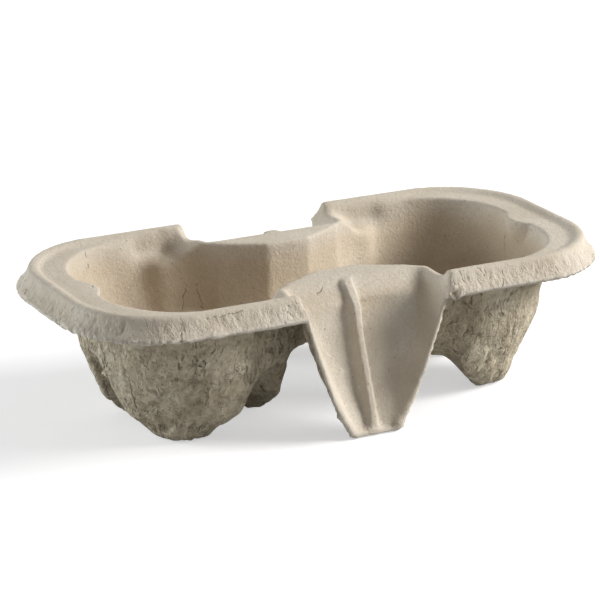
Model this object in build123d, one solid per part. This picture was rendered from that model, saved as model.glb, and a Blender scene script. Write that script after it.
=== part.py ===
from build123d import *
from math import radians, sin, tan
import os

# Two-cup carrier moulded from wet pulp as one thin sheet.
# X runs along the tray, Y across it, Z up from the table. Sizes are in millimetres.

# Sheet and overall form
wall = 2.0                   # thickness of the pulp sheet
height = 57.0                # table to the crest of the rim
crest_half_length = 102.0    # middle of the tray to the crest of the rim, along X
crest_half_width = 47.0      # the same, along Y
crest_corner = 33.0          # corner radius of the crest in plan

# Rim: a rounded bead with a flared skirt outside it
bead_width = 3.4             # crest to the inner foot of the bead
bead_rise = 1.7              # bead above the ledge inside it
skirt_drop = 8.8             # crest down to the skirt's lower edge
skirt_flare = 6.4            # crest out to the skirt's lower edge
skirt_hollow = 0.9           # how far the skirt curves in between crest and edge
bead_crown = 1.1             # half of the bead's level top

# Cup wells
cup_pitch = 98.0             # between the centres of the two wells
base_radius = 27.5           # well floor, inside
waist_radius = 34.5          # round part of the well, inside, at waist_height
waist_height = 28.0
grip_radius = 36.0           # round part of the well where it meets the ledges
mouth_half_length = 40.7     # squared outer half of the well at the top, along X
mouth_half_width = 41.8      # the same, along Y
mouth_corner = 29.0          # corner radius of that mouth
mouth_waist = 37.5           # half size of the squared part at waist_height
waist_corner = 33.5          # corner radius there
mouth_fan = 51.0             # half opening of the squared part in plan, in degrees
mouth_fan_back = 32.0        # well's centre to the point where that opening starts
floor_round = 2.2            # bevel between the floor and the wall of a well
nose_reach = 3.8             # bulge of the end ledge into the mouth
nose_radius = 13.0
nose_drop = 17.0             # ledge down to the point where the bulge has faded

# Three hollow ridges in each well, which stand it on three feet
ridge_apex = 16.0            # top of the ridges, inside the well
ridge_knee = 21.0            # distance from the middle where the ridge turns up the wall
ridge_climb = 43.0           # slope of the part that climbs the wall, in degrees
ridge_flare = 3.0            # how much wider a ridge's foot is where it leaves the well
end_ridge_half_width = 12.0  # foot of the ridge towards the tray's end
end_ridge_crown = 4.0        # half width of its top
side_ridge_half_width = 17.4  # foot of the two other ridges
side_ridge_crown = 9.0       # half width of their tops
side_ridge_turn = 118.0      # angle from the end ridge to each of them

# Channel between the wells and the bridges on both sides of it
channel_floor = 29.0
channel_half_width = 16.6
channel_half_length = 8.3    # half length of the channel's straight walls
channel_draft = 3.0          # lean of the channel's walls, in degrees
throat_half_width = 33.5     # channel where it has opened into the well
throat_end = 41.0            # middle of the tray to the throat's wide end
bridge_drop = 2.7            # bridge tops below the crest
bridge_half_length = 30.0    # flat top of a bridge
shelf_drop = 9.5             # corner shelves beside the bridges below the crest
shelf_start = 39.5           # middle of the tray to where the shelf is level
shelf_end = 53.0             # middle of the tray to the far end of the shelf

# Finger valleys on the long sides, each ending in a tongue that stands on the table
valley_top = 29.6            # middle of the tray to the valley's upper edge, along Y
brow_out = 7.2               # sloping brow below that edge, along Y
brow_drop = 7.2              # the same, down
valley_foot = 46.5           # middle of the tray to the foot of the valley's panel
tongue_edge = 50.2           # middle of the tray to the trimmed edge of the tongue
tongue_half_width = 10.0     # tongue at the table
tongue_spread = 20.8         # lean of the tongue's trimmed edges, in degrees
valley_flare = 25.0          # opening of the valley's sides in plan at the table, in degrees
valley_top_flare = 4.0       # the same, level with the bridges
valley_round = 8.0           # bevelled corner between the panel and the sides, at the table
valley_top_round = 3.5       # the same, level with the bridges
rib_half_width = 2.8
rib_rise = 2.7               # rib above the valley's panel

# Levels and lengths that follow from the sizes above
ledge = height - bead_rise
bridge_top = height - bridge_drop
shelf = height - shelf_drop
skirt_edge = height - skirt_drop
well_x = cup_pitch / 2
above = height + skirt_drop  # height that every cut from above reaches
beyond = tongue_edge + skirt_drop  # distance that every cut from the side reaches


def rim_path():
    outline = RectangleRounded(2 * crest_half_length, 2 * crest_half_width, crest_corner)
    return outline.face().outer_wire()


def rim_ring(section):
    # carries a section drawn as (distance outside the crest, height) round the tray
    path = rim_path()
    start = path @ 0
    upward = Vector(0, 0, 1)
    outward = (path % 0).cross(upward)
    if outward.dot(start) < 0:
        outward = outward * -1
    plane = Plane(origin=start, x_dir=outward, z_dir=outward.cross(upward))
    return sweep(plane * section, path=path)


def skirt_line(inset):
    # upper face of ledge, bead and skirt, moved in by the sheet's thickness for the lower face
    half = inset / 2
    middle = (bead_crown + skirt_flare) / 2 - skirt_hollow
    return Polyline((-2 * bead_width, ledge - inset), (-bead_width, ledge - inset),
                    (-bead_crown - half / 2, height - inset), (bead_crown - inset, height - inset),
                    (middle - inset, (height + skirt_edge) / 2 - half), (skirt_flare - inset, skirt_edge))


def rim_sheet():
    upper = skirt_line(0)
    lower = skirt_line(wall)
    inner_end = Line(lower @ 0, upper @ 0)
    lip = Line(upper @ 1, lower @ 1)
    return rim_ring(make_face([*upper.edges(), *lower.edges(), inner_end, lip]))


def rim_filled():
    upper = skirt_line(0)
    sill = Polyline(upper @ 1, (-2 * bead_width, skirt_edge), upper @ 0)
    return rim_ring(make_face([*upper.edges(), *sill.edges()]))


def ridge(grow, half_width, crown):
    # one hollow ridge from the middle of a well out through its wall, along +X
    slope = radians(ridge_climb)
    knee = ridge_knee + grow * tan(slope / 2)
    reach = mouth_half_length + skirt_flare
    low = ridge_apex - grow
    high = low + (reach - knee) * tan(slope)

    def section(distance, foot, apex):
        arch = Polygon((-foot, -wall), (foot, -wall), (crown, apex - crown / 2), (crown / 2, apex),
                       (-crown / 2, apex), (-crown, apex - crown / 2), align=None)
        return Plane(origin=(distance, 0, 0), x_dir=(0, 1, 0), z_dir=(1, 0, 0)) * arch
    foot = half_width - grow
    return loft([section(-half_width / 4, foot, low), section(knee, foot, low),
                 section(reach, foot + ridge_flare, high)], ruled=True)


def round_well(grow):
    floor = wall - grow
    edge = base_radius + grow
    lean = (waist_radius - base_radius) / (waist_height - wall) * floor_round
    side = Polyline((0, floor), (edge - floor_round, floor),
                    (edge + lean, floor + floor_round), (waist_radius + grow, waist_height),
                    (grip_radius + grow, ledge), (grip_radius + grow, above), (0, above), (0, floor))
    return revolve(Plane.XZ * make_face(side.edges()), Axis.Z)


def squared_mouth(grow):
    def level(half_x, half_y, corner, z):
        outline = RectangleRounded(2 * (half_x + grow), 2 * (half_y + grow), corner + grow)
        return Pos(0, 0, z) * outline.face()
    rise = (above - waist_height) / (ledge - waist_height)
    half_x = mouth_waist + (mouth_half_length - mouth_waist) * rise
    half_y = mouth_waist + (mouth_half_width - mouth_waist) * rise
    side = (mouth_waist - base_radius) / (waist_height - wall)
    low_z = wall + floor_round
    low = base_radius + side * floor_round
    body = loft([level(low, low, low - wall / 2, low_z),
                 level(mouth_waist, mouth_waist, waist_corner, waist_height),
                 level(half_x, half_y, mouth_corner, above)], ruled=True)
    spread = 2 * beyond * tan(radians(mouth_fan))
    back = mouth_fan_back + grow / sin(radians(mouth_fan))
    fan = Polygon((-back, 0), (2 * beyond - back, -spread), (2 * beyond - back, spread), align=None)
    return body & extrude(fan, above)


def end_nose(grow):
    # rounded bulge that widens the end ledge into the well and fades down the wall
    middle = mouth_half_length + nose_radius
    lean = nose_reach / nose_drop
    foot = ledge - nose_drop
    shrunk = nose_radius - grow
    return loft([Pos(middle - (z - foot) * lean, 0, z) * Circle(shrunk).face() for z in (foot, above)])


def well_space(grow):
    # room inside one well, its squared half towards +X
    space = round_well(grow) + squared_mouth(grow) - end_nose(grow)
    space -= ridge(grow, end_ridge_half_width, end_ridge_crown)
    side_ridge = ridge(grow, side_ridge_half_width, side_ridge_crown)
    for turn in (side_ridge_turn, -side_ridge_turn):
        space -= Rot(0, 0, turn) * side_ridge
    return space


def channel_space(grow):
    # hourglass room that joins the two wells between the bridges
    def level(z):
        lean = (z - channel_floor) * tan(radians(channel_draft))
        near = channel_half_width + lean
        far = throat_half_width + lean
        quarter = [(throat_end, far), (channel_half_length, near)]
        side = quarter + [(-x, y) for x, y in reversed(quarter)]
        ring = side + [(x, -y) for x, y in reversed(side)]
        outline = offset(Polygon(*ring, align=None), grow, kind=Kind.INTERSECTION)
        return Pos(0, 0, z) * outline.face()
    return loft([level(channel_floor - grow), level(above)], ruled=True)


def shelf_space(grow):
    # room above the bridges and the lower shelves at their ends
    right = [(shelf_end, above), (shelf_end, shelf), (shelf_start, shelf),
             (bridge_half_length, bridge_top)]
    ring = right + [(-x, z) for x, z in reversed(right)]
    profile = offset(Polygon(*ring, align=None), grow, kind=Kind.INTERSECTION)
    half_width = crest_half_width - bead_width + grow
    return extrude(Plane.XZ * profile, half_width, both=True)


def valley_space(grow):
    # room in the finger valley on the +Y side, above its panel, sides and tongue
    spread = tan(radians(tongue_spread))

    def level(z, back, out_z):
        rise = min((out_z - wall) / (bridge_top - wall), 1)
        flare = tan(radians(valley_flare + (valley_top_flare - valley_flare) * rise))
        bevel = valley_round + (valley_top_round - valley_round) * rise
        edge = tongue_half_width + (out_z - wall) * spread
        half_back = edge - (tongue_edge - back) * flare
        half_far = edge + (beyond - tongue_edge) * flare
        corner = Vector(half_back, back)
        near = corner - Vector(bevel, 0)
        far = corner + Vector(flare, 1).normalized() * bevel
        bend = corner / 2 + (near + far) / 4
        right = [(near.X, near.Y), (bend.X, bend.Y), (far.X, far.Y), (half_far, beyond)]
        ring = right + [(-x, y) for x, y in reversed(right)]
        outline = offset(Polygon(*ring, align=None), grow, kind=Kind.INTERSECTION)
        return Pos(0, 0, z) * outline.face()
    brow = bridge_top - brow_drop
    brow_back = valley_top + brow_out
    over = valley_top - (above - bridge_top) * brow_out / brow_drop / 2
    return loft([level(wall - grow, valley_foot, wall), level(brow, brow_back, brow),
                 level(bridge_top, valley_top, bridge_top), level(above, over, above)], ruled=True)


def valley_rib():
    # solid rib up the middle of the +Y valley's panel, level with the bridge at its top
    brow = bridge_top - brow_drop
    brow_back = valley_top + brow_out
    inside = wall / 2
    ring = [(valley_top - inside, bridge_top), (valley_top + rib_rise, bridge_top),
            (brow_back + rib_rise, brow), (valley_foot + rib_rise, wall),
            (valley_foot + rib_rise, inside), (valley_foot - inside, inside),
            (brow_back - inside, brow)]
    return extrude(Plane.YZ * make_face(Polyline(*ring, close=True)), rib_half_width, both=True)


def spaces(grow):
    rooms = [channel_space(grow), shelf_space(grow)]
    well = Pos(well_x, 0, 0) * well_space(grow)
    valley = valley_space(grow)
    for half_turn in (0, 180):
        rooms.append(Rot(0, 0, half_turn) * well)
        rooms.append(Rot(0, 0, half_turn) * valley)
    return rooms


def carrier():
    block = extrude(RectangleRounded(2 * crest_half_length, 2 * crest_half_width, crest_corner), ledge)
    inset = 1.5 * bead_width
    plate = Pos(0, 0, ledge - wall) * extrude(
        RectangleRounded(2 * (crest_half_length - inset), 2 * (crest_half_width - inset),
                         crest_corner - inset), wall)
    reach = tongue_half_width + height * tan(radians(tongue_spread)) + 3 * wall
    tongues = extrude(Rectangle(2 * reach, 2 * tongue_edge), skirt_edge)
    envelope = block + tongues + rim_filled()
    under = [room & envelope for room in spaces(wall)]
    sheet = rim_sheet() + plate
    for body in under:
        sheet += body
    for room in spaces(0):
        sheet -= room
    for half_turn in (0, 180):
        sheet += Rot(0, 0, half_turn) * valley_rib()
    return sheet


os.makedirs("parts", exist_ok=True)
tray = carrier()
tray.label = "carrier_tray"
export_step(tray, "parts/carrier_tray.step")
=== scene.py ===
import math

import bpy
import numpy as np
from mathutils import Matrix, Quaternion, Vector, noise
from mathutils.bvhtree import BVHTree


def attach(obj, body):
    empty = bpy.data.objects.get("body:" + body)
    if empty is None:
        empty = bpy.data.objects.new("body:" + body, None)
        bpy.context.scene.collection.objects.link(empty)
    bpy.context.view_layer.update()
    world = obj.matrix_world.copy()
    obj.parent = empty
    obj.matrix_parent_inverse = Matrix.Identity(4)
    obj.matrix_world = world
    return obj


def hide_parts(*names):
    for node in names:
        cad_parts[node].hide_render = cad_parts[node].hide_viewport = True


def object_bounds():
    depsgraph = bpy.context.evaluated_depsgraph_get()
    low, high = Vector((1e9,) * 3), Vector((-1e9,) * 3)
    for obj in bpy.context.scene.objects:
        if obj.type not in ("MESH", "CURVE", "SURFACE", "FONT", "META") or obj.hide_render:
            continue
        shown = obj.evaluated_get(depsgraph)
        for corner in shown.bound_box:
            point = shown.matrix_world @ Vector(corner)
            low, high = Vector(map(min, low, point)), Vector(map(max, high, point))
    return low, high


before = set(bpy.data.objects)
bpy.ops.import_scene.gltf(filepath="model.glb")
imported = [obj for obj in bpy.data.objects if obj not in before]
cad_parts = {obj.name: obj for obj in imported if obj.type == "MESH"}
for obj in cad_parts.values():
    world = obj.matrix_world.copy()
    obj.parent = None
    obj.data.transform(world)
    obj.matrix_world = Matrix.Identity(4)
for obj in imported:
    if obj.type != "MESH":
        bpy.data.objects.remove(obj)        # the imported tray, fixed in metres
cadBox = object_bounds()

scene = bpy.context.scene
scene.view_settings.view_transform = "Standard"


# camera at the photograph's angle, fitted from the tray's own symmetry
photoCamera = {
    "azimuth": -28.63,            # degrees, 0 looks along +Y
    "elevation": 19.35,
    "roll": 0.41,
    "distance": 1.0334,
    "aimHeight": 0.02744,
    "focalPixels": 2792.3,
    "imagePixels": 600,
    "axisPixel": (310.86, 322.54),  # where the lens axis meets the picture
    "sensor": 36.0,
}


def cameraBack(spec):
    turn, rise = math.radians(spec["azimuth"]), math.radians(spec["elevation"])
    return Vector((math.sin(turn) * math.cos(rise), -math.cos(turn) * math.cos(rise), math.sin(rise)))


def cameraTurn(spec):
    level = (-cameraBack(spec)).to_track_quat("-Z", "Y")
    return level @ Quaternion((0, 0, 1), math.radians(spec["roll"]))


def cameraPlace(spec):
    return Vector((0, 0, spec["aimHeight"])) + cameraBack(spec) * spec["distance"]


def addCamera(spec):
    lens = bpy.data.cameras.new("photoCamera")
    lens.sensor_width = spec["sensor"]
    lens.lens = spec["focalPixels"] / spec["imagePixels"] * spec["sensor"]
    half = spec["imagePixels"] / 2
    lens.shift_x = (half - spec["axisPixel"][0]) / spec["imagePixels"]
    lens.shift_y = (spec["axisPixel"][1] - half) / spec["imagePixels"]
    camera = bpy.data.objects.new("photoCamera", lens)
    camera.location = cameraPlace(spec)
    camera.rotation_mode = "QUATERNION"
    camera.rotation_quaternion = cameraTurn(spec)
    scene.collection.objects.link(camera)
    scene.camera = camera


def sightLine(spec, pixel):
    # direction of the view through one pixel of the photograph
    across = (pixel[0] - spec["axisPixel"][0]) / spec["focalPixels"]
    down = (pixel[1] - spec["axisPixel"][1]) / spec["focalPixels"]
    return (cameraTurn(spec) @ Vector((across, -down, -1))).normalized()


addCamera(photoCamera)
print("camera placed")


# mesh helpers
def meshArrays(mesh):
    points = np.empty(len(mesh.vertices) * 3)
    mesh.vertices.foreach_get("co", points)
    edges = np.empty(len(mesh.edges) * 2, dtype=np.int64)
    mesh.edges.foreach_get("vertices", edges)
    return points.reshape(-1, 3), edges.reshape(-1, 2)


def meshNormals(mesh):
    normals = np.empty(len(mesh.vertices) * 3)
    mesh.vertex_normals.foreach_get("vector", normals)
    return normals.reshape(-1, 3)


def storePoints(mesh, points):
    mesh.vertices.foreach_set("co", points.ravel())
    mesh.update()


def storeField(mesh, name, values):
    field = mesh.attributes.new(name, "FLOAT", "POINT")
    field.data.foreach_set("value", np.ascontiguousarray(values, dtype=np.float32))


def neighbourMean(values, edges, degree):
    total = np.zeros_like(values)
    for column in range(values.shape[1]):
        total[:, column] = (
            np.bincount(edges[:, 0], values[edges[:, 1], column], len(values))
            + np.bincount(edges[:, 1], values[edges[:, 0], column], len(values)))
    return total / degree[:, None]


def smoothed(values, edges, degree, passes, weight=1.0, pull=0.5):
    # each pass draws every point part of the way to the mean of its neighbours
    for turn in range(passes):
        values = values + (neighbourMean(values, edges, degree) - values) * weight * pull
    return values


noiseShift = (7.31, 3.77, 5.13)   # moves the fields of different seeds apart


def noiseField(points, grain, seed):
    # Perlin noise with lumps of about the given size, one size or one per axis
    scaled = points / np.broadcast_to(np.array(grain, dtype=float), (3,))
    scaled = scaled + seed * np.array(noiseShift)
    return np.array([noise.noise(Vector(place)) for place in scaled])


def twoSizes(points, grains, share, seed):
    # coarse noise with a share of finer noise
    return noiseField(points, grains[0], seed) + share * noiseField(points, grains[1], seed + 1)


def fadeIn(values, start, end):
    # 0 before the start, 1 past the end
    share = np.clip((values - start) / (end - start), 0, 1)
    return share * share * (3 - 2 * share)


def fadeOut(values, start, end):
    # 1 before the start, 0 past the end
    return fadeIn(-values, -end, -start)


def plateau(values, span):
    # rises over the first two numbers of the span and falls over the last two
    return fadeIn(values, *span[:2]) * fadeOut(values, *span[2:])


def crossingLines(field, width, sharpness=1.5):
    # thin lines where a noise field passes through zero
    return np.clip(1 - np.abs(field) / width, 0, 1) ** sharpness


# form of the moulded sheet, in metres and degrees
traySheet = {
    "node": "carrier_tray",
    "voxel": 0.00117,               # keeps the sheet under 200,000 triangles
    "crestHalf": (0.102, 0.047),    # the rim's crest in plan
    "crestCorner": 0.033,
    "skirtEdge": 0.0482,            # height of the skirt's lower edge
    "noseStart": (0.080, 0.036),    # the end bulges overhang, beyond this X and above this Z
    "noseTurn": 0.3,                # and turn inward by more than this
    "steepTurn": 0.12,              # walls that turn up or down by less are told apart with a ray
    "rayLift": 0.0005,
    "facePasses": 3,                # blends the masks of the two faces
    "borderPeak": 1.25,             # band along the trimmed edge
    "borderFall": 3.2,
    "roundPasses": 1,               # softens the mould's edges
    "edgeKeep": 0.5,                # how much of its corner the trimmed edge keeps
    "wirePasses": 10,               # the wire face is softer than the pressed one
    "skirtFade": 0.004,
    "blendPasses": 34,              # softens the corners where a well's round and squared parts meet
    "blendSpots": (                 # place and reach, the same in all four quarters
        ((0.0500, 0.0400, 0.0510), 0.0180), ((0.0345, 0.0430, 0.0515), 0.0110),
        ((0.0470, 0.0370, 0.0410), 0.0110), ((0.0470, 0.0370, 0.0340), 0.0110),
        ((0.0470, 0.0370, 0.0270), 0.0100)),
    "spotCore": 0.3,                # share of the reach that is blended fully
    "blendInset": (0.0015, 0.0050),  # the blends begin this far inside the rim's crest
    "footPasses": 9,                # rounds the feet off
    "footTop": 0.014,
    "footCore": 0.3,                # share of that height that is rounded fully
    "footAside": (0.0360, 0.0400),  # the tongues stand beyond this Y
    "soleShare": 0.9,
    "wellPlace": 0.049,             # middle of a well along X
    "feet": ((51.5, 0.70, 0.0014), (180.0, 0.62, 0.0)),  # bearing from there, width kept, swell
    "footSplit": 118.0,             # bearing of the side ridge between them
    "footSpan": 0.011,              # height over which they narrow
    "taperCore": 0.1,
    "footReach": (0.036, 0.040),    # distance from the well's middle
    "swellWidth": 0.008,
    "rampFill": (0.0024, 0.0012),   # how far the left well's far ramp is raised, and lowered beside that
    "rampFront": ((-0.0400, -0.0300), (0.0380, 0.0325)),  # its lower edge, X then Y
    "rampTop": 0.0436,
    "rampEnd": (0.0442, 0.0462),
    "rampRise": (0.0440, 0.0462),
    "fillSpan": (-0.0415, -0.0365, -0.0335, -0.0310),
    "cutSpan": (-0.0315, -0.0295, -0.0265, -0.0235),
    "tongueFront": (-0.032, -0.024),
    "tongueTop": (0.0535, 0.0560),
    "ribHeights": (0, 0.012, 0.037, 0.050),  # the front tongue's rib slants and is narrow
    "ribLeft": (0.0010, 0.0008, -0.0015, -0.0020),
    "ribRight": (-0.0014, -0.0017, -0.0040, -0.0040),
    "ribSpans": ((-0.0100, -0.0045, -0.0027, 0.0027), (-0.0027, 0.0027, 0.0045, 0.0105)),
    "panelDepth": (0.0008, 0.0026),  # how far its left and right panels fall away toward the rib
    "panelLevels": (0.003, 0.016, 0.0455, 0.0505),
    "panelStart": (0.0027, 0.0045),
    "panelEnd": 0.020,
    "panelWidth": 0.0155,
    "lean": (0.0016, -0.0009, 0),   # how far the right well's foot has warped
    "leanStart": (0.018, 0.032),
    "leanSpan": (0.020, 0.046),
    "leanAside": (0.0400, 0.0440),
    "tongueFace": -0.0420,
    "tongueCorner": (0.0070, 0.0052),  # middle and radius of the worn corner of the front tongue
}


def remeshedCopy(spec, name):
    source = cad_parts[spec["node"]]
    piece = bpy.data.objects.new(name, source.data.copy())
    scene.collection.objects.link(piece)
    skin = piece.modifiers.new("evenSkin", "REMESH")
    skin.mode = "VOXEL"
    skin.voxel_size = spec["voxel"]
    graph = bpy.context.evaluated_depsgraph_get()
    mesh = bpy.data.meshes.new_from_object(piece.evaluated_get(graph))
    piece.modifiers.clear()
    piece.data = mesh
    mesh.materials.clear()
    return piece


def solidTree(spec):
    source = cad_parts[spec["node"]].data
    corners = [vertex.co for vertex in source.vertices]
    return BVHTree.FromPolygons(corners, [tuple(face.vertices) for face in source.polygons])


def seatedOnSolid(points, tree):
    # every point drawn onto the solid, with the solid's normal there
    places, normals = np.empty_like(points), np.empty_like(points)
    for row, place in enumerate(points):
        places[row], normals[row] = tree.find_nearest(Vector(place))[:2]
    return places, normals


def sideMasks(points, solidNormals, edges, degree, tree, spec):
    # 1 on the wire face below, 0 on the smooth face above, and where the two meet at a trimmed edge
    startX, startZ = spec["noseStart"]
    inward = solidNormals[:, 0] * np.sign(points[:, 0]) < -spec["noseTurn"]
    nose = (np.abs(points[:, 0]) > startX) & (points[:, 2] > startZ) & inward
    below = solidNormals[:, 2] < 0
    for row in np.where(np.abs(solidNormals[:, 2]) < spec["steepTurn"])[0]:
        start = Vector(points[row] + solidNormals[row] * spec["rayLift"])
        below[row] = tree.ray_cast(start, Vector((0, 0, 1)))[0] is not None  # the rim is over it
    under = (below & ~nose).astype(float)
    blended = smoothed(under[:, None], edges, degree, spec["facePasses"])[:, 0]
    return blended, np.clip(spec["borderPeak"] - np.abs(blended - 0.5) * spec["borderFall"], 0, 1)


def outsideCrest(points, spec):
    # distance outside the rim's crest in plan, negative inside it
    reach = np.abs(points[:, :2]) - (np.array(spec["crestHalf"]) - spec["crestCorner"])
    corner = np.linalg.norm(np.maximum(reach, 0), axis=1)
    return corner + np.minimum(reach.max(axis=1), 0) - spec["crestCorner"]


def softened(points, edges, degree, border, under, spec):
    # mould radii everywhere, wider blends in the wells' corners and under the feet
    edge = spec["skirtEdge"]
    points = smoothed(points, edges, degree, spec["roundPasses"], (1 - border * spec["edgeKeep"])[:, None])
    outer = under * (1 - border) * fadeOut(points[:, 2], edge - spec["skirtFade"], edge)
    points = smoothed(points, edges, degree, spec["wirePasses"], outer[:, None])
    blend = np.zeros(len(points))
    for spot, reach in spec["blendSpots"]:
        near = np.linalg.norm(np.abs(points) - np.array(spot), axis=1)
        blend = np.maximum(blend, 1 - fadeIn(near, reach * spec["spotCore"], reach))
    blend = blend * fadeIn(-outsideCrest(points, spec), *spec["blendInset"])
    points = smoothed(points, edges, degree, spec["blendPasses"], blend[:, None])
    foot = fadeOut(points[:, 2], spec["footTop"] * spec["footCore"], spec["footTop"])
    foot = foot * fadeOut(np.abs(points[:, 1]), *spec["footAside"])
    rounded = smoothed(points, edges, degree, spec["footPasses"], foot[:, None])
    drop = rounded[foot > spec["soleShare"], 2].min()
    rounded[:, 2] -= drop * foot
    return rounded


def tapered(points, spec):
    # each foot narrows toward the table
    side = np.sign(points[:, :2])
    reach = np.abs(points[:, :2]) - np.array((spec["wellPlace"], 0))
    bearing = np.degrees(np.arctan2(reach[:, 1], reach[:, 0]))
    share = fadeOut(points[:, 2], spec["footSpan"] * spec["taperCore"], spec["footSpan"])
    share = share * fadeOut(np.linalg.norm(reach, axis=1), *spec["footReach"])
    placed = reach.copy()
    sectors = (bearing < spec["footSplit"], bearing >= spec["footSplit"])
    for mine, (turn, keep, swell) in zip(sectors, spec["feet"]):
        course = np.array((math.cos(math.radians(turn)), math.sin(math.radians(turn))))
        across = np.array((-course[1], course[0]))
        along, aside = reach @ course, reach @ across
        along = along + swell * share * np.exp(-(aside / spec["swellWidth"]) ** 2)
        aside = aside * (1 - (1 - keep) * share)
        placed[mine] = (along[:, None] * course + aside[:, None] * across)[mine]
    changed = points.copy()
    changed[:, :2] = side * (placed + np.array((spec["wellPlace"], 0)))
    return changed


def rampFilled(points, spec):
    # the ramp between the left well's far ledge and the bridge narrows as it rises
    x, y, z = points.T
    fill, cut = spec["rampFill"]
    front = np.interp(x, *spec["rampFront"])
    share = np.clip((y - front) / (spec["rampTop"] - front), 0, 1)
    share = share * fadeOut(y, *spec["rampEnd"]) * fadeIn(z, *spec["rampRise"])
    filled = points.copy()
    filled[:, 2] += share * (fill * plateau(x, spec["fillSpan"]) - cut * plateau(x, spec["cutSpan"]))
    return filled


def tongueShaped(points, spec):
    # the front tongue's rib and the panels beside it
    x, y, z = points.T
    front = fadeOut(y, *spec["tongueFront"]) * fadeOut(z, *spec["tongueTop"])
    shaped = points.copy()
    for shift, span in zip((spec["ribLeft"], spec["ribRight"]), spec["ribSpans"]):
        shaped[:, 0] += front * np.interp(z, spec["ribHeights"], shift) * np.interp(x, span, (0, 1, 1, 0))
    level = front * plateau(z, spec["panelLevels"])
    for side, depth in zip((-1, 1), spec["panelDepth"]):
        slope = fadeIn(side * x, *spec["panelStart"])
        slope = slope * np.clip((spec["panelEnd"] - side * x) / spec["panelWidth"], 0, 1)
        shaped[:, 1] += level * slope * depth
    return shaped


def warped(points, spec):
    # the right well leans a little and the front tongue has lost a corner
    share = fadeIn(points[:, 0], *spec["leanStart"]) * fadeOut(points[:, 2], *spec["leanSpan"])
    share = share * fadeOut(np.abs(points[:, 1]), *spec["leanAside"])
    points = points + share[:, None] * np.array(spec["lean"])
    middle, radius = spec["tongueCorner"]
    worn = (points[:, 1] < spec["tongueFace"]) & (points[:, 0] > middle) & (points[:, 2] < radius)
    arm = np.stack([points[:, 0] - middle, points[:, 2] - radius], axis=1)
    size = np.linalg.norm(arm, axis=1)
    shrink = np.where(worn & (size > radius), radius / np.maximum(size, 1e-9), 1.0)
    points[:, 0] = np.where(worn, middle + arm[:, 0] * shrink, points[:, 0])
    points[:, 2] = np.where(worn, radius + arm[:, 1] * shrink, points[:, 2])
    return points


# relief of the sheet's faces and edges: heights and grain sizes in metres
sheetRelief = {
    "wave": 0.00010,                # slow waves on the smooth face
    "waveGrain": (0.016, 0.006),
    "waveShare": 0.5,
    "lump": 0.00028,                # felted lumps on the wire face
    "lumpGrain": (0.0085, 0.0036),
    "lumpShare": 0.75,
    "wrinkle": 0.00050,             # standing wrinkles on the wire face
    "bend": 0.0015,
    "bendGrain": 0.005,
    "uprightGrain": (0.0034, 0.0034, 0.012),
    "uprightWidth": 0.34,
    "crossedGrain": (0.0058, 0.0058, 0.0052),
    "crossedWidth": 0.2,
    "patchGrain": 0.014,            # upright wrinkles in some patches, crossed ones in the others
    "patchRange": (-0.3, 0.25),
    "ridgeRange": (0.1, 0.6),
    "ridgeShare": 0.7,
    "pit": 0.00045,
    "pitGrain": 0.0027,
    "pitRange": (0.30, 0.60),
    "skirtStart": (0.0008, 0.0026),  # distance outside the rim's crest
    "skirtBelow": 0.002,
    "skirtWrinkle": 0.00032,
    "skirtMix": (0.7, 1.1),         # raised puckers and sunk lines
    "puckerGrain": ((0.0026, 0.0026, 0.03), 0.0026),
    "puckerShare": 0.6,
    "skirtPatchGrain": 0.018,
    "skirtPatchRange": (-0.2, 0.3),
    "skirtLineGrain": (0.0045, 0.0045, 0.025),
    "skirtLineWidth": 0.25,
    "lipStart": (0.0035, 0.005),    # distance outside the rim's crest
    "lipHeight": 0.0026,            # above the skirt's lower edge
    "lipFray": 0.00028,
    "lipGrain": (0.0062, 0.0024),
    "lipShare": 0.7,
    "lipRoll": 0.00080,
    "rollHeights": (0.0010, 0.0020),
    # share by which the rolled lip is painted paler, like the trimmed edge
    "rollPaling": 0.8,
    "tongueFray": 0.00034,
    "tongueGrain": (0.0034, 0.0017),
    "tongueShare": 0.6,
    "tongueOutside": (0.002, 0.0036),
    "tongueStart": (0.036, 0.040),
    "tongueTip": 1.2,               # how much more ragged the lower end is
    "tipHeights": (0.006, 0.016),
    "crumples": (                   # pixel in the photograph, reach, height, hole
        ((455, 293), 0.0042, 0.0012, 0.0017), ((449, 283), 0.0040, 0.0007, 0),
        ((341, 418), 0.0034, 0.0011, 0), ((401, 423), 0.0030, 0.0009, 0),
        ((340, 372), 0.0026, 0.0006, 0)),
    "crumpleRise": 0.45,
    "crumpleGrain": 0.0022,
    "crumpleCore": 0.3,
    "holeCore": 0.5,
    "holeDepth": 0.0022,
    "hollowDepth": 0.0006,          # relief this deep is shaded fully
    "tornShade": 2,
    "wellShadeInset": (-0.008, -0.004),  # the insides of the wells and the channel, painted darker and warmer as shade and bounce light
    "wellShadeTop": (0.0450, 0.0535),
    "valleyStart": (0.034, 0.038),
    "valleyHalf": 0.022,
}


def wireRelief(points, spec):
    # lumps, standing wrinkles and pits of the face that lay on the wire mould
    lumps = twoSizes(points, spec["lumpGrain"], spec["lumpShare"], 3)
    bent = points + spec["bend"] * noiseField(points, spec["bendGrain"], 5)[:, None]
    upright = noiseField(bent, spec["uprightGrain"], 6)
    patch = fadeIn(noiseField(points, spec["patchGrain"], 7), *spec["patchRange"])
    lines = crossingLines(upright, spec["uprightWidth"]) * patch
    crossed = crossingLines(noiseField(bent, spec["crossedGrain"], 8), spec["crossedWidth"]) * (1 - patch)
    pits = fadeIn(noiseField(points, spec["pitGrain"], 9), *spec["pitRange"])
    ridges = fadeIn(upright, *spec["ridgeRange"]) * patch
    share = spec["ridgeShare"]
    return (spec["lump"] * lumps + spec["wrinkle"] * (share * ridges - lines - share * crossed)
            - spec["pit"] * pits)


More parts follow.
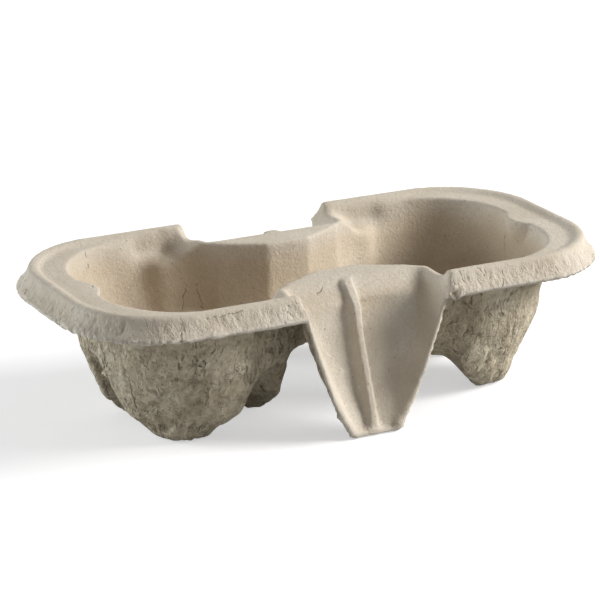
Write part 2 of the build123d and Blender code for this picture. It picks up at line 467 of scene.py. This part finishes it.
def skirtRelief(points, spec):
    # radial puckers where the wet sheet was folded over the rim
    pucker = twoSizes(points, spec["puckerGrain"], spec["puckerShare"], 11)
    patch = fadeIn(noiseField(points, spec["skirtPatchGrain"], 13), *spec["skirtPatchRange"])
    lines = crossingLines(noiseField(points, spec["skirtLineGrain"], 14), spec["skirtLineWidth"]) * patch
    raised, sunk = spec["skirtMix"]
    return spec["skirtWrinkle"] * (raised * pucker - sunk * lines)


def frayedEdges(points, normals, outside, border, upper, edge, spec):
    # the skirt's lip frays and rolls out, and the tongues' cut edges are ragged
    lip = fadeIn(outside, *spec["lipStart"]) * fadeOut(points[:, 2], edge, edge + spec["lipHeight"])
    points[:, 2] += lip * twoSizes(points, spec["lipGrain"], spec["lipShare"], 15) * spec["lipFray"]
    rollLow, rollHigh = spec["rollHeights"]
    roll = lip * upper * fadeOut(points[:, 2], edge + rollLow, edge + rollHigh)
    points = points + normals * (roll * spec["lipRoll"])[:, None]
    tongue = border * fadeOut(outside, *spec["tongueOutside"])
    tongue = tongue * fadeIn(np.abs(points[:, 1]), *spec["tongueStart"])
    ragged = twoSizes(points, spec["tongueGrain"], spec["tongueShare"], 17)
    ragged = ragged * (1 + spec["tongueTip"] * fadeOut(points[:, 2], *spec["tipHeights"]))
    return points + normals * (tongue * ragged * spec["tongueFray"])[:, None], roll


def crumpled(points, normals, tree, spec, cameraSpec):
    # torn and frayed spots, and how deep each point lies in a hole
    moved, depth = points.copy(), np.zeros(len(points))
    for pixel, reach, height, hole in spec["crumples"]:
        spot = tree.ray_cast(cameraPlace(cameraSpec), sightLine(cameraSpec, pixel))[0]
        away = np.linalg.norm(points - np.array(spot), axis=1)
        near = np.where(away < reach)[0]
        rough = spec["crumpleRise"] + noiseField(points[near], spec["crumpleGrain"], 21)
        swell = (1 - fadeIn(away[near], reach * spec["crumpleCore"], reach)) * rough * height
        moved[near] += normals[near] * swell[:, None]
        if hole:
            pit = 1 - fadeIn(away, hole * spec["holeCore"], hole)
            moved -= normals * (pit * spec["holeDepth"])[:, None]
            depth = np.maximum(depth, pit)
    return moved, depth


def buildTray(spec, relief, tree, cameraSpec):
    piece = remeshedCopy(spec, "pulpTray")
    mesh = piece.data
    points, edges = meshArrays(mesh)
    degree = np.bincount(edges.ravel(), minlength=len(points)).astype(float)
    points, solidNormals = seatedOnSolid(points, tree)
    under, border = sideMasks(points, solidNormals, edges, degree, tree, spec)
    points = tapered(softened(points, edges, degree, border, under, spec), spec)
    points = warped(tongueShaped(rampFilled(points, spec), spec), spec)
    storePoints(mesh, points)
    normals = meshNormals(mesh)

    upper = 1 - under
    outside = outsideCrest(points, spec)
    edge = spec["skirtEdge"]
    skirt = fadeIn(outside, *relief["skirtStart"]) * fadeIn(points[:, 2], edge - relief["skirtBelow"], edge)
    wire = wireRelief(points, relief) * under * (1 - border)
    pucker = skirtRelief(points, relief) * skirt * upper
    wave = relief["wave"] * twoSizes(points, relief["waveGrain"], relief["waveShare"], 1) * upper
    points = points + normals * (wire + pucker + wave)[:, None]
    points, roll = frayedEdges(points, normals, outside, border, upper, edge, relief)
    points, torn = crumpled(points, normals, tree, relief, cameraSpec)
    points[:, 2] = np.clip(points[:, 2], cadBox[0][2], cadBox[1][2])
    storePoints(mesh, points)

    # painted shade: the hollows of the relief and the torn hole darken the colour
    hollow = np.clip(-(wire + pucker) / relief["hollowDepth"], 0, 1)
    # painted shade: the insides of the wells and the channel are tinted darker and warmer, the front valley
    # left out
    inside = upper * fadeOut(outside, *relief["wellShadeInset"]) * fadeOut(points[:, 2], *relief["wellShadeTop"])
    valley = fadeIn(np.abs(points[:, 1]), *relief["valleyStart"])
    valley = valley * (np.abs(points[:, 0]) < relief["valleyHalf"])
    storeField(mesh, "hollow", hollow + relief["tornShade"] * torn)
    storeField(mesh, "puckered", skirt * upper)
    storeField(mesh, "paintedWellShade", inside * (1 - valley))
    # the trimmed edge and the rolled lip are painted paler in the material
    storeField(mesh, "trimmed", np.clip(border + roll * relief["rollPaling"], 0, 1))
    sides = under[np.array([face.vertices[0] for face in mesh.polygons])]
    mesh.polygons.foreach_set("material_index", (sides > 0.5).astype(np.int32))
    mesh.polygons.foreach_set("use_smooth", np.ones(len(mesh.polygons), dtype=bool))
    mesh.calc_loop_triangles()
    print("tray sheet:", len(mesh.loop_triangles), "triangles")
    return piece


traySolid = solidTree(traySheet)
tray = buildTray(traySheet, sheetRelief, traySolid, photoCamera)


# folds and cracks that the photograph shows, as paths of pixels in it
foldMarks = {
    "smoothFace": {"width": 0.00050, "paths": [
        [(85, 252), (88, 268), (93, 288)], [(186, 285), (184, 296), (182, 309)],
        [(196, 285), (199, 295), (202, 308)], [(357, 265), (360, 259), (364, 264)],
        [(505, 236), (504, 258)], [(120, 241), (150, 236)], [(502, 272), (503, 286)],
        [(478, 268), (484, 276)], [(171, 331), (173, 340)], [(180, 330), (181, 341)],
        [(207, 319), (226, 315), (242, 311)], [(289, 306), (287, 313)], [(553, 262), (557, 271)],
        [(458, 270), (463, 282)], [(60, 318), (58, 327)], [(317, 294), (322, 287)]]},
    "wireFace": {"width": 0.00062, "paths": [
        [(463, 303), (480, 315), (488, 306)], [(204, 360), (206, 386), (208, 397), (206, 409)],
        [(140, 356), (146, 367)], [(210, 356), (215, 350)], [(129, 380), (137, 408)],
        [(158, 428), (178, 437)], [(250, 382), (261, 387), (267, 395)], [(500, 322), (494, 338)],
        [(455, 330), (462, 334), (468, 331)], [(104, 366), (103, 378)], [(195, 357), (196, 360)],
        [(480, 340), (474, 356)], [(176, 354), (180, 369)]]},
}


def foldSegments(marks, tree, cameraSpec):
    # start and end of every fold on the sheet, found by sighting through the camera
    eye = cameraPlace(cameraSpec)
    segments = []
    for path in marks["paths"]:
        places = [tree.ray_cast(eye, sightLine(cameraSpec, pixel))[0] for pixel in path]
        segments += [pair for pair in zip(places[:-1], places[1:]) if None not in pair]
    return segments


foldLines = {face: foldSegments(marks, traySolid, photoCamera) for face, marks in foldMarks.items()}
print("folds found:", {face: len(lines) for face, lines in foldLines.items()})


# node helpers
def addNode(tree, kind, place, **values):
    node = tree.nodes.new(kind)
    node.location = place
    for name, value in values.items():
        setattr(node, name, value)
    return node


def link(tree, source, target):
    tree.links.new(source, target)


def newGroup(name, inputs, outputs):
    group = bpy.data.node_groups.new(name, "ShaderNodeTree")
    for label, kind, value in inputs:
        socket = group.interface.new_socket(label, in_out="INPUT", socket_type=kind)
        if value is not None:
            socket.default_value = value
    for label, kind in outputs:
        group.interface.new_socket(label, in_out="OUTPUT", socket_type=kind)
    return group, addNode(group, "NodeGroupInput", (-900, 0)), addNode(group, "NodeGroupOutput", (700, 0))


def scaledPlace(tree, place, size, spot, stretch=(1, 1, 1)):
    # position divided by a size in metres, so one texture cell is that large
    inverse = addNode(tree, "ShaderNodeMath", spot, operation="DIVIDE")
    inverse.inputs[0].default_value = 1.0
    link(tree, size, inverse.inputs[1])
    grown = addNode(tree, "ShaderNodeVectorMath", (spot[0] + 160, spot[1]), operation="SCALE")
    link(tree, place, grown.inputs[0])
    link(tree, inverse.outputs[0], grown.inputs["Scale"])
    shaped = addNode(tree, "ShaderNodeVectorMath", (spot[0] + 320, spot[1]), operation="MULTIPLY")
    link(tree, grown.outputs[0], shaped.inputs[0])
    shaped.inputs[1].default_value = stretch
    return shaped.outputs[0]


def remapped(tree, value, low, high, spot, toLow=0.0, toHigh=1.0, smooth=True):
    node = addNode(tree, "ShaderNodeMapRange", spot, interpolation_type="SMOOTHSTEP" if smooth else "LINEAR")
    link(tree, value, node.inputs["Value"])
    for name, number in (("From Min", low), ("From Max", high), ("To Min", toLow), ("To Max", toHigh)):
        node.inputs[name].default_value = number
    return node.outputs["Result"]


def combined(tree, kind, first, second, spot):
    node = addNode(tree, "ShaderNodeMath", spot, operation=kind)
    for socket, value in zip(node.inputs, (first, second)):
        if isinstance(value, (int, float)):
            socket.default_value = value
        else:
            link(tree, value, socket)
    return node.outputs[0]


def mixedColour(tree, share, first, second, spot, kind="MIX"):
    node = addNode(tree, "ShaderNodeMix", spot, data_type="RGBA", blend_type=kind)
    for socket, value in ((node.inputs["Factor"], share), (node.inputs[6], first), (node.inputs[7], second)):
        if isinstance(value, (int, float, tuple)):
            socket.default_value = value
        else:
            link(tree, value, socket)
    return node.outputs[2]


def noiseTexture(tree, place, spot, detail, roughness=0.5, distortion=0.0):
    texture = addNode(tree, "ShaderNodeTexNoise", spot)
    settings = (("Scale", 1.0), ("Detail", detail), ("Roughness", roughness), ("Distortion", distortion))
    for name, value in settings:
        texture.inputs[name].default_value = value
    link(tree, place, texture.inputs["Vector"])
    return texture.outputs[0]


# fibre flecks: small dark and pale bits of paper in the pulp
def makeFibreFlecks():
    group, given, wanted = newGroup(
        "fibreFlecks", [("Vector", "NodeSocketVector", None), ("Size", "NodeSocketFloat", 0.0012)],
        [("Dark", "NodeSocketFloat"), ("Pale", "NodeSocketFloat")])
    kinds = (("Dark", (0.8, 1.0, 0.9), 0.12), ("Pale", (1.2, 1.0, 1.1), 0.20))  # stretch, share of cells
    outline, core = 0.38, 0.10    # of a fleck within its cell
    fullShare = 0.4               # of the chosen cells, those with a full fleck
    for row, (label, stretch, keep) in enumerate(kinds):
        level = -400 * row
        place = scaledPlace(group, given.outputs["Vector"], given.outputs["Size"], (-700, level), stretch)
        cells = addNode(group, "ShaderNodeTexVoronoi", (-200, level), feature="F1")
        cells.inputs["Scale"].default_value = 1.0
        link(group, place, cells.inputs["Vector"])
        spot = remapped(group, cells.outputs["Distance"], outline, core, (0, level))
        tone = addNode(group, "ShaderNodeSeparateColor", (0, level - 200))
        link(group, cells.outputs["Color"], tone.inputs[0])
        chosen = remapped(group, tone.outputs[0], keep, keep * fullShare, (200, level - 200))
        link(group, combined(group, "MULTIPLY", spot, chosen, (450, level)), wanted.inputs[label])
    return group


# mottling: cloudy zones from uneven drying, and a fine speckle
def makePulpMottle():
    group, given, wanted = newGroup(
        "pulpMottle", [("Vector", "NodeSocketVector", None), ("Cloud", "NodeSocketFloat", 0.02),
                       ("Speckle", "NodeSocketFloat", 0.0016)],
        [("Clouds", "NodeSocketFloat"), ("Speckles", "NodeSocketFloat")])
    low, high = 0.32, 0.68        # stretch of the noise that is used
    for row, (size, label, detail) in enumerate((("Cloud", "Clouds", 4.0), ("Speckle", "Speckles", 3.0))):
        level = -350 * row
        place = scaledPlace(group, given.outputs["Vector"], given.outputs[size], (-700, level))
        cloud = noiseTexture(group, place, (-200, level), detail, roughness=0.65)
        link(group, remapped(group, cloud, low, high, (200, level)), wanted.inputs[label])
    return group


# grain: felted fibres, and streaks that run up the wall
def makePulpGrain():
    group, given, wanted = newGroup(
        "pulpGrain", [("Vector", "NodeSocketVector", None), ("Size", "NodeSocketFloat", 0.0011)],
        [("Height", "NodeSocketFloat"), ("Fuzz", "NodeSocketFloat"), ("Streaks", "NodeSocketFloat")])
    layers = (("Height", (1, 1, 1), 4.0), ("Fuzz", (1.9, 1.9, 1.9), 2.0), ("Streaks", (0.5, 0.5, 0.17), 4.0))
    low, high = 0.28, 0.72        # stretch of the noise that is used
    for row, (label, stretch, detail) in enumerate(layers):
        level = -300 * row
        place = scaledPlace(group, given.outputs["Vector"], given.outputs["Size"], (-700, level), stretch)
        felt = noiseTexture(group, place, (-200, level), detail, roughness=0.62, distortion=0.4)
        link(group, remapped(group, felt, low, high, (200, level), smooth=False), wanted.inputs[label])
    return group


# wrinkle cracks: short cracks that run mostly up the wall, darkened in the material as painted shade
def makeWrinkleCracks():
    group, given, wanted = newGroup(
        "wrinkleCracks", [("Vector", "NodeSocketVector", None), ("Size", "NodeSocketFloat", 0.004),
                          ("Width", "NodeSocketFloat", 0.05)],
        [("Lines", "NodeSocketFloat")])

    def field(stretch, spot, detail, distortion):
        start = (spot[0] - 500, spot[1])
        place = scaledPlace(group, given.outputs["Vector"], given.outputs["Size"], start, stretch)
        return noiseTexture(group, place, spot, detail, distortion=distortion)
    away = combined(group, "SUBTRACT", field((1, 1, 0.42), (-200, 0), 2.0, 0.5), 0.5, (0, 0))
    size = combined(group, "ABSOLUTE", away, 0.0, (150, 0))
    ratio = combined(group, "DIVIDE", size, given.outputs["Width"], (300, 0))
    line = remapped(group, ratio, 1.0, 0.0, (450, 0))
    broken = remapped(group, field((1.15, 1.15, 0.8), (-200, -350), 1.0, 0.0), 0.52, 0.62, (150, -350))
    where = remapped(group, field((0.3, 0.3, 0.25), (-200, -700), 2.0, 0.0), 0.42, 0.58, (150, -700))
    kept = combined(group, "MULTIPLY", broken, where, (450, -350))
    link(group, combined(group, "MULTIPLY", line, kept, (600, 0)), wanted.inputs["Lines"])
    return group


# fold line: one crease between two places on the sheet
def makeFoldLine():
    group, given, wanted = newGroup(
        "foldLine", [("Vector", "NodeSocketVector", None), ("Start", "NodeSocketVector", None),
                     ("End", "NodeSocketVector", None), ("Width", "NodeSocketFloat", 0.0005)],
        [("Line", "NodeSocketFloat")])

    def vector(kind, first, second, spot):
        node = addNode(group, "ShaderNodeVectorMath", spot, operation=kind)
        link(group, first, node.inputs[0])
        link(group, second, node.inputs["Scale"] if kind == "SCALE" else node.inputs[1])
        return node
    arm = vector("SUBTRACT", given.outputs["Vector"], given.outputs["Start"], (-650, 100)).outputs[0]
    course = vector("SUBTRACT", given.outputs["End"], given.outputs["Start"], (-650, -100)).outputs[0]
    along = vector("DOT_PRODUCT", arm, course, (-480, 100)).outputs["Value"]
    whole = vector("DOT_PRODUCT", course, course, (-480, -100)).outputs["Value"]
    share = addNode(group, "ShaderNodeMath", (-300, 0), operation="DIVIDE", use_clamp=True)
    link(group, along, share.inputs[0])
    link(group, whole, share.inputs[1])
    nearest = vector("SCALE", course, share.outputs[0], (-130, 0)).outputs[0]
    away = vector("DISTANCE", arm, nearest, (40, 0)).outputs["Value"]
    ratio = combined(group, "DIVIDE", away, given.outputs["Width"], (220, 0))
    link(group, remapped(group, ratio, 1.0, 0.0, (420, 0)), wanted.inputs["Line"])
    return group


pulpGroups = {"flecks": makeFibreFlecks(), "mottle": makePulpMottle(), "grain": makePulpGrain(),
              "cracks": makeWrinkleCracks(), "fold": makeFoldLine()}
print("pulp effects ready")


# the two finishes of the pulp: colours, sizes in metres, and shares
pulpFinishes = {
    "smoothFace": {               # pressed side, seen from above
        "pale": (0.640, 0.583, 0.500, 1), "deep": (0.545, 0.480, 0.388, 1),
        # the tint for the wells' insides is painted shade and warm bounce light
        "inner": (0.955, 0.905, 0.835, 1), "worn": (0.70, 0.645, 0.555, 1),
        "fleckDark": (0.30, 0.245, 0.175, 1), "fleckPale": (0.72, 0.67, 0.585, 1),
        # the darkest colour is painted shade for hollows, grain pits, cracks and folds
        "paintedShadeColour": (0.27, 0.21, 0.145, 1),
        "cloudSize": 0.020, "speckleSize": 0.0011, "fleckSize": 0.0011, "grainSize": 0.0013,
        "crackSize": 0.0040, "crackWidth": 0.05, "fineCrackSize": 0.0024,
        "speckleShare": 0.75, "fleckShare": 0.65, "foldShare": 0.85, "pitShade": 0.06,
        "everyCrack": 0.0, "skirtCrack": 0.9, "fineCrack": 0.35, "everyStreak": 0.06,
        "grainDepth": 0.00014, "streakDepth": 0.00045, "crackDepth": 0.00035,
        "roughLow": 0.80, "roughHigh": 0.97},
    "wireFace": {                 # side that lay on the wire mould, seen from below; its pale colour is the face's own, set lighter as painted bounce light from the floor
        "pale": (0.700, 0.628, 0.492, 1), "deep": (0.530, 0.457, 0.330, 1),
        "inner": (1, 1, 1, 1), "worn": (0.69, 0.63, 0.525, 1),
        "fleckDark": (0.24, 0.19, 0.13, 1), "fleckPale": (0.69, 0.635, 0.535, 1),
        # the darkest colour is painted shade for hollows, grain pits, cracks and folds
        "paintedShadeColour": (0.20, 0.155, 0.10, 1),
        "cloudSize": 0.013, "speckleSize": 0.0017, "fleckSize": 0.0017, "grainSize": 0.0021,
        "crackSize": 0.0046, "crackWidth": 0.06, "fineCrackSize": 0.0024,
        "speckleShare": 0.70, "fleckShare": 0.6, "foldShare": 0.9, "pitShade": 0.20,
        "everyCrack": 0.9, "skirtCrack": 0.0, "fineCrack": 0.6, "everyStreak": 1.0,
        "grainDepth": 0.00080, "streakDepth": 0.00100, "crackDepth": 0.00070,
        "roughLow": 0.86, "roughHigh": 1.0},
}
pulpShared = {                    # the same on both faces
    "specular": 0.2,
    "foldWaves": 420.0,           # waves in a metre of fold
    "foldWander": 0.0022,
    "pitShadeRange": (0.55, 0.12),
    "wearRange": (0.0, 0.7),
    "wearShare": (0.5, 1.0),
    "hollowShade": 0.5,
    "lineShade": 0.7,
}


def makePulp(name, spec, shared, groups, folds, foldWidth):
    material = bpy.data.materials.new(name)
    material.use_nodes = True
    tree = material.node_tree
    shader = tree.nodes["Principled BSDF"]
    shader.inputs["Specular IOR Level"].default_value = shared["specular"]
    place = addNode(tree, "ShaderNodeTexCoord", (-2100, 0)).outputs["Object"]

    def placed(label, spot, source=place, **values):
        node = addNode(tree, "ShaderNodeGroup", spot, node_tree=groups[label])
        link(tree, source, node.inputs["Vector"])
        for socket, value in values.items():
            node.inputs[socket].default_value = value
        return node.outputs

    def field(label, spot):
        return addNode(tree, "ShaderNodeAttribute", spot, attribute_name=label).outputs["Fac"]

    def scaledBy(value, share, spot):
        return combined(tree, "MULTIPLY", value, share, spot)
    mottle = placed("mottle", (-1450, 300), Cloud=spec["cloudSize"], Speckle=spec["speckleSize"])
    flecks = placed("flecks", (-1450, 0), Size=spec["fleckSize"])
    grain = placed("grain", (-1450, -300), Size=spec["grainSize"])
    cracks = placed("cracks", (-1450, -600), Size=spec["crackSize"], Width=spec["crackWidth"])
    fine = placed("cracks", (-1450, -750), Size=spec["fineCrackSize"], Width=spec["crackWidth"])
    hollow, puckered, trimmed, paintedWellShade = (
        field(label, (-1450, -900 - 150 * row))
        for row, label in enumerate(("hollow", "puckered", "trimmed", "paintedWellShade")))

    # folds wander a little from their straight course
    shake = addNode(tree, "ShaderNodeTexNoise", (-2100, -1500))
    shake.inputs["Scale"].default_value = shared["foldWaves"]
    link(tree, place, shake.inputs["Vector"])
    centred = addNode(tree, "ShaderNodeVectorMath", (-1900, -1500), operation="SUBTRACT")
    link(tree, shake.outputs["Color"], centred.inputs[0])
    centred.inputs[1].default_value = (0.5, 0.5, 0.5)
    small = addNode(tree, "ShaderNodeVectorMath", (-1750, -1500), operation="SCALE")
    link(tree, centred.outputs[0], small.inputs[0])
    small.inputs["Scale"].default_value = shared["foldWander"]
    shaken = addNode(tree, "ShaderNodeVectorMath", (-1600, -1500), operation="ADD")
    link(tree, place, shaken.inputs[0])
    link(tree, small.outputs[0], shaken.inputs[1])
    fold = None
    for row, (start, end) in enumerate(folds):
        level = -1500 - 180 * row
        ends = {"Start": start, "End": end, "Width": foldWidth}
        line = placed("fold", (-1400, level), shaken.outputs[0], **ends)["Line"]
        fold = line if fold is None else combined(tree, "MAXIMUM", fold, line, (-1150, level))

    tone = mixedColour(tree, mottle["Clouds"], spec["pale"], spec["deep"], (-1100, 400))
    speckle = scaledBy(mottle["Speckles"], spec["speckleShare"], (-1200, 250))
    tone = mixedColour(tree, speckle, tone, spec["deep"], (-950, 400))
    dark = scaledBy(flecks["Dark"], spec["fleckShare"], (-1100, 100))
    tone = mixedColour(tree, dark, tone, spec["fleckDark"], (-800, 400))
    pale = scaledBy(flecks["Pale"], spec["fleckShare"], (-1100, -50))
    tone = mixedColour(tree, pale, tone, spec["fleckPale"], (-650, 400))
    # painted shade: the insides of the wells are multiplied by a darker, warmer tint
    tone = mixedColour(tree, paintedWellShade, tone, spec["inner"], (-600, 550), "MULTIPLY")
    # painted shade: the low parts of the grain are darkened
    low = remapped(tree, grain["Height"], *shared["pitShadeRange"], (-1250, -350))
    tone = mixedColour(tree, scaledBy(low, spec["pitShade"], (-1100, -350)), tone, spec["paintedShadeColour"], (-550, 550))
    patchy = remapped(tree, grain["Fuzz"], *shared["wearRange"], (-1250, -200), *shared["wearShare"])
    wear = scaledBy(trimmed, patchy, (-1100, -200))
    tone = mixedColour(tree, wear, tone, spec["worn"], (-500, 400))
    onSkirt = scaledBy(puckered, spec["skirtCrack"], (-1100, -500))
    shown = combined(tree, "ADD", onSkirt, spec["everyCrack"], (-950, -500))
    faint = scaledBy(fine["Lines"], spec["fineCrack"], (-1100, -650))
    every = combined(tree, "MAXIMUM", cracks["Lines"], faint, (-950, -600))
    lines = combined(tree, "MAXIMUM", scaledBy(every, shown, (-800, -500)),
                     scaledBy(fold, spec["foldShare"], (-800, -650)), (-700, -550))
    # painted shade: hollows, the torn hole, cracks and folds are darkened toward the shade colour
    sunk = combined(tree, "MAXIMUM", scaledBy(hollow, shared["hollowShade"], (-950, -750)),
                    scaledBy(lines, shared["lineShade"], (-650, -850)), (-500, -700))
    tone = mixedColour(tree, sunk, tone, spec["paintedShadeColour"], (-350, 400))
    link(tree, tone, shader.inputs["Base Color"])
    link(tree, remapped(tree, grain["Fuzz"], 0, 1, (-500, 100), spec["roughLow"], spec["roughHigh"]),
         shader.inputs["Roughness"])

    def bumped(height, depth, spot, below=None, invert=False):
        node = addNode(tree, "ShaderNodeBump", spot, invert=invert)
        node.inputs["Distance"].default_value = depth
        link(tree, height, node.inputs["Height"])
        if below is not None:
            link(tree, below, node.inputs["Normal"])
        return node.outputs["Normal"]
    streaky = combined(tree, "MAXIMUM", puckered, spec["everyStreak"], (-700, -200))
    normal = bumped(grain["Height"], spec["grainDepth"], (-550, -300))
    streaks = scaledBy(grain["Streaks"], streaky, (-600, -450))
    normal = bumped(streaks, spec["streakDepth"], (-400, -300), normal)
    normal = bumped(lines, spec["crackDepth"], (-250, -300), normal, invert=True)
    link(tree, normal, shader.inputs["Normal"])
    return material


for finish, finishSpec in pulpFinishes.items():
    foldWidth = foldMarks[finish]["width"]
    tray.data.materials.append(
        makePulp(finish, finishSpec, pulpShared, pulpGroups, foldLines[finish], foldWidth))
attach(tray, "root")
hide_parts("carrier_tray")
print("tray dressed in", len(tray.data.materials), "finishes")


# studio: white sweep, broad key from the right, soft light from behind and above
studio = {
    "floorSize": 6.0,
    "floorColour": (0.55, 0.55, 0.55, 1),
    "floorRoughness": 0.95,
    "floorLift": 0.54,        # glow that only the camera, mirrors and glass see
    "skyLight": 0.21,
    "key": {"place": (1.57, -0.72, 1.03), "size": 0.85, "power": 55.0, "colour": (1.0, 0.99, 0.975)},
    "back": {"place": (-1.15, 0.71, 0.37), "size": 0.6, "power": 13.0, "colour": (0.92, 0.97, 1.0)},
}


def directlySeen(tree, level):
    # 1 for what the camera sees, also in a mirror or through glass
    rays = addNode(tree, "ShaderNodeLightPath", (-700, level)).outputs
    seen = combined(tree, "MAXIMUM", rays["Is Camera Ray"], rays["Is Glossy Ray"], (-500, level))
    return combined(tree, "MAXIMUM", seen, rays["Is Transmission Ray"], (-350, level))


def addFloor(spec):
    mesh = bpy.data.meshes.new("studioFloor")
    half = spec["floorSize"] / 2
    mesh.from_pydata([(-half, -half, 0), (half, -half, 0), (half, half, 0), (-half, half, 0)], [],
                     [(0, 1, 2, 3)])
    floor = bpy.data.objects.new("studioFloor", mesh)
    scene.collection.objects.link(floor)
    material = bpy.data.materials.new("whitePaper")
    material.use_nodes = True
    tree = material.node_tree
    shader = tree.nodes["Principled BSDF"]
    shader.inputs["Base Color"].default_value = spec["floorColour"]
    shader.inputs["Roughness"].default_value = spec["floorRoughness"]
    shader.inputs["Emission Color"].default_value = (1, 1, 1, 1)
    glow = combined(tree, "MULTIPLY", directlySeen(tree, -300), spec["floorLift"], (-200, -300))
    link(tree, glow, shader.inputs["Emission Strength"])
    mesh.materials.append(material)


def addSky(spec):
    sky = bpy.data.worlds.new("studioSky")
    sky.use_nodes = True
    tree = sky.node_tree
    ground = tree.nodes["Background"]
    strength = remapped(tree, directlySeen(tree, 0), 0, 1, (-200, 0), spec["skyLight"], 1.0, smooth=False)
    link(tree, strength, ground.inputs["Strength"])
    ground.inputs["Color"].default_value = (1, 1, 1, 1)
    scene.world = sky


def addSoftbox(name, spec):
    lamp = bpy.data.lights.new(name, "AREA")
    lamp.shape = "SQUARE"
    lamp.size = spec["size"]
    lamp.energy = spec["power"]
    lamp.color = spec["colour"]
    box = bpy.data.objects.new(name, lamp)
    box.location = spec["place"]
    box.rotation_mode = "QUATERNION"
    box.rotation_quaternion = (-Vector(spec["place"])).to_track_quat("-Z", "Y")
    scene.collection.objects.link(box)


addFloor(studio)
addSky(studio)
addSoftbox("keySoftbox", studio["key"])
addSoftbox("backSoftbox", studio["back"])
print("studio lit")
